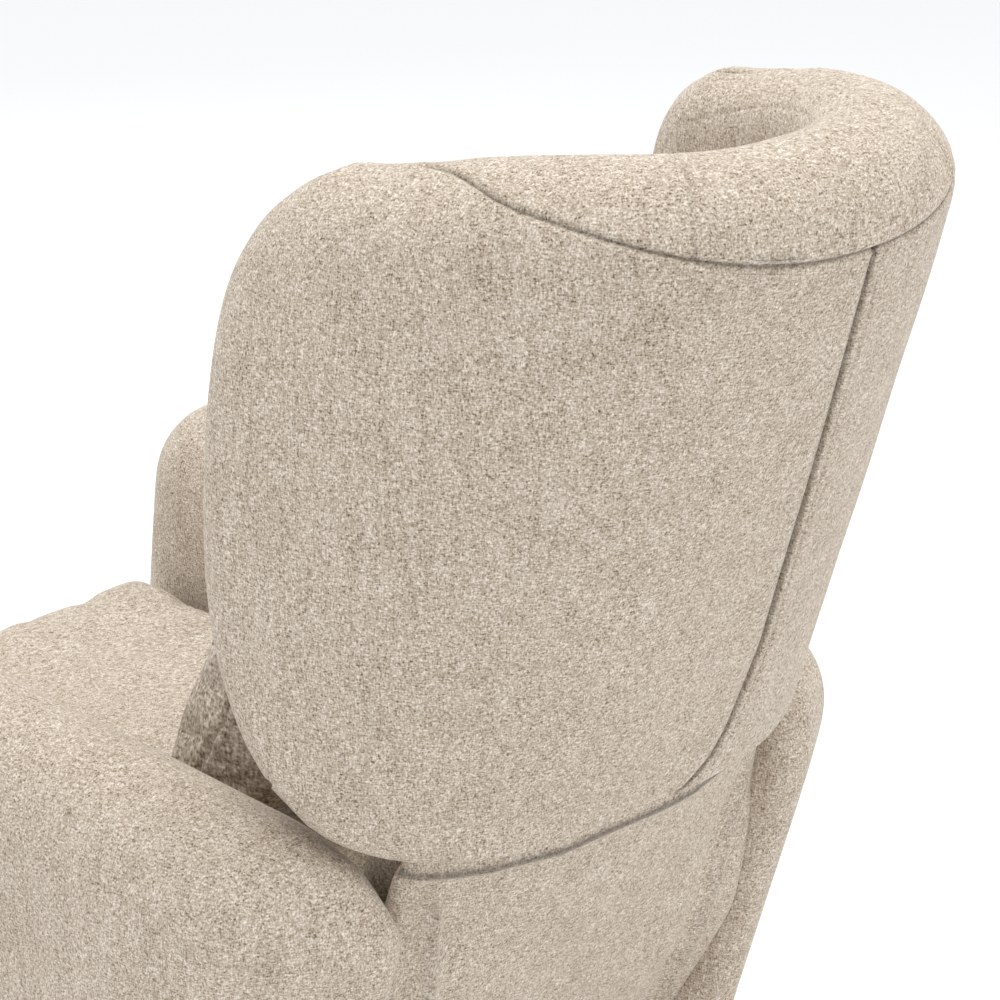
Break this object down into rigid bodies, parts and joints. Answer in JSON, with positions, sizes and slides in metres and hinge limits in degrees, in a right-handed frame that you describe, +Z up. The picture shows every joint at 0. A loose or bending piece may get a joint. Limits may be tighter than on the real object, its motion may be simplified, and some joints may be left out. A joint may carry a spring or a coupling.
{
  "type": "glider nursery chair",
  "caption": "Upholstered swivel glider with a winged shell back that reclines, round arms, a lumbar pillow and a fold-out leg rest.",
  "frame": {"origin": "centre of the base's floor face, on the swivel axis", "axes": "+Z up, the chair faces -Y, the sitter's left is +X"},
  "size_m": [0.791, 1.143, 1.1455],
  "materials": {
    "upholstery": "heathered beige woven tweed",
    "pillow_cover": "nubby darker beige weave",
    "webbing": "black elastic webbing",
    "base_wood": "clear-lacquered light wood",
    "lever_wood": "oiled wood",
    "frame_wood": "bare plywood",
    "zinc_steel": "bright zinc",
    "black_steel": "satin black powder coat",
    "pad_rubber": "matt non-slip sheet"
  },
  "bodies": {
    "base": {"floor_pad": "pad_rubber", "floor_disc": "base_wood", "king_bolt": "zinc_steel", "lower_race": "zinc_steel", "bearing_balls": "zinc_steel"},
    "turntable": {"upper_race": "zinc_steel", "turntable_plate": "black_steel", "glide_bracket_left": "black_steel", "glide_bracket_right": "black_steel", "upper_glide_pins": "zinc_steel"},
    "front_links": {"front_link_left": "black_steel", "front_link_right": "black_steel", "front_link_tube": "black_steel"},
    "rear_links": {"rear_link_left": "black_steel", "rear_link_right": "black_steel", "rear_link_tube": "black_steel"},
    "carriage": {"hanger_front_left": "black_steel", "hanger_front_right": "black_steel", "hanger_rear_left": "black_steel", "hanger_rear_right": "black_steel", "lower_glide_pins": "zinc_steel", "seat_rail_left": "frame_wood", "seat_rail_right": "frame_wood", "seat_rail_front": "frame_wood", "seat_rail_rear": "frame_wood", "seat_webbing": "webbing", "seat_cushion": "upholstery", "arm_left": "upholstery", "arm_right": "upholstery", "arm_board_left": "frame_wood", "arm_board_right": "frame_wood", "rear_panel": "upholstery", "recline_bracket_left": "black_steel", "recline_bracket_right": "black_steel", "recline_pins": "zinc_steel", "leg_bracket_left": "black_steel", "leg_bracket_right": "black_steel", "leg_link_pins": "zinc_steel", "lever_boss": "zinc_steel"},
    "backrest": {"back_shell": "upholstery", "lower_back_panel": "upholstery", "back_upright_left": "black_steel", "back_upright_right": "black_steel", "back_top_rail": "frame_wood", "back_low_rail": "frame_wood"},
    "pillow": {"lumbar_pillow": "pillow_cover"},
    "leg_links": {"leg_link_left": "black_steel", "leg_link_right": "black_steel"},
    "leg_rest": {"leg_panel": "upholstery", "panel_ear_left": "black_steel", "panel_ear_right": "black_steel", "panel_pins": "zinc_steel", "flap_knuckle_left": "black_steel", "flap_knuckle_right": "black_steel", "flap_pin": "zinc_steel"},
    "foot_flap": {"foot_flap": "upholstery"},
    "lever": {"release_lever": "lever_wood"}
  },
  "joints": [
    {"name": "swivel", "type": "hinge", "parent": "base", "child": "turntable", "pos_m": [0, 0, 0.04], "axis": [0, 0, 1], "continuous": true},
    {"name": "front_link_swing", "type": "hinge", "parent": "turntable", "child": "front_links", "pos_m": [0, -0.11, 0.258], "axis": [1, 0, 0], "range_deg": [-16, 16]},
    {"name": "glide", "type": "hinge", "parent": "front_links", "child": "carriage", "pos_m": [0, -0.11, 0.088], "axis": [1, 0, 0], "range_deg": [-16, 16]},
    {"name": "rear_link_swing", "type": "hinge", "parent": "turntable", "child": "rear_links", "pos_m": [0, 0.11, 0.258], "axis": [1, 0, 0], "range_deg": [-16, 16]},
    {"name": "recline", "type": "hinge", "parent": "carriage", "child": "backrest", "pos_m": [0, 0.25, 0.311], "axis": [-1, 0, 0], "range_deg": [0, 30]},
    {"name": "pillow_lift", "type": "slide", "parent": "backrest", "child": "pillow", "axis": [0, 0.3584, 0.9336], "range_m": [0, 0.12]},
    {"name": "leg_link_swing", "type": "hinge", "parent": "carriage", "child": "leg_links", "pos_m": [0, -0.461, 0.217], "axis": [1, 0, 0], "range_deg": [0, 45]},
    {"name": "leg_panel_turn", "type": "hinge", "parent": "leg_links", "child": "leg_rest", "pos_m": [0, -0.462, 0.308], "axis": [1, 0, 0], "range_deg": [-135, 0]},
    {"name": "flap_turn", "type": "hinge", "parent": "leg_rest", "child": "foot_flap", "pos_m": [0, -0.466, 0.108], "axis": [1, 0, 0], "range_deg": [-180, 0]},
    {"name": "lever_pull", "type": "hinge", "parent": "carriage", "child": "lever", "pos_m": [-0.39, -0.17, 0.33], "axis": [-1, 0, 0], "range_deg": [0, 35], "stiffness_Nm_per_rad": 1}
  ],
  "couplings": [
    {"joint": "front_link_swing", "follows": "glide", "ratio": -1},
    {"joint": "rear_link_swing", "follows": "glide", "ratio": -1},
    {"joint": "leg_panel_turn", "follows": "leg_link_swing", "ratio": -3},
    {"joint": "flap_turn", "follows": "leg_link_swing", "ratio": -4}
  ]
}
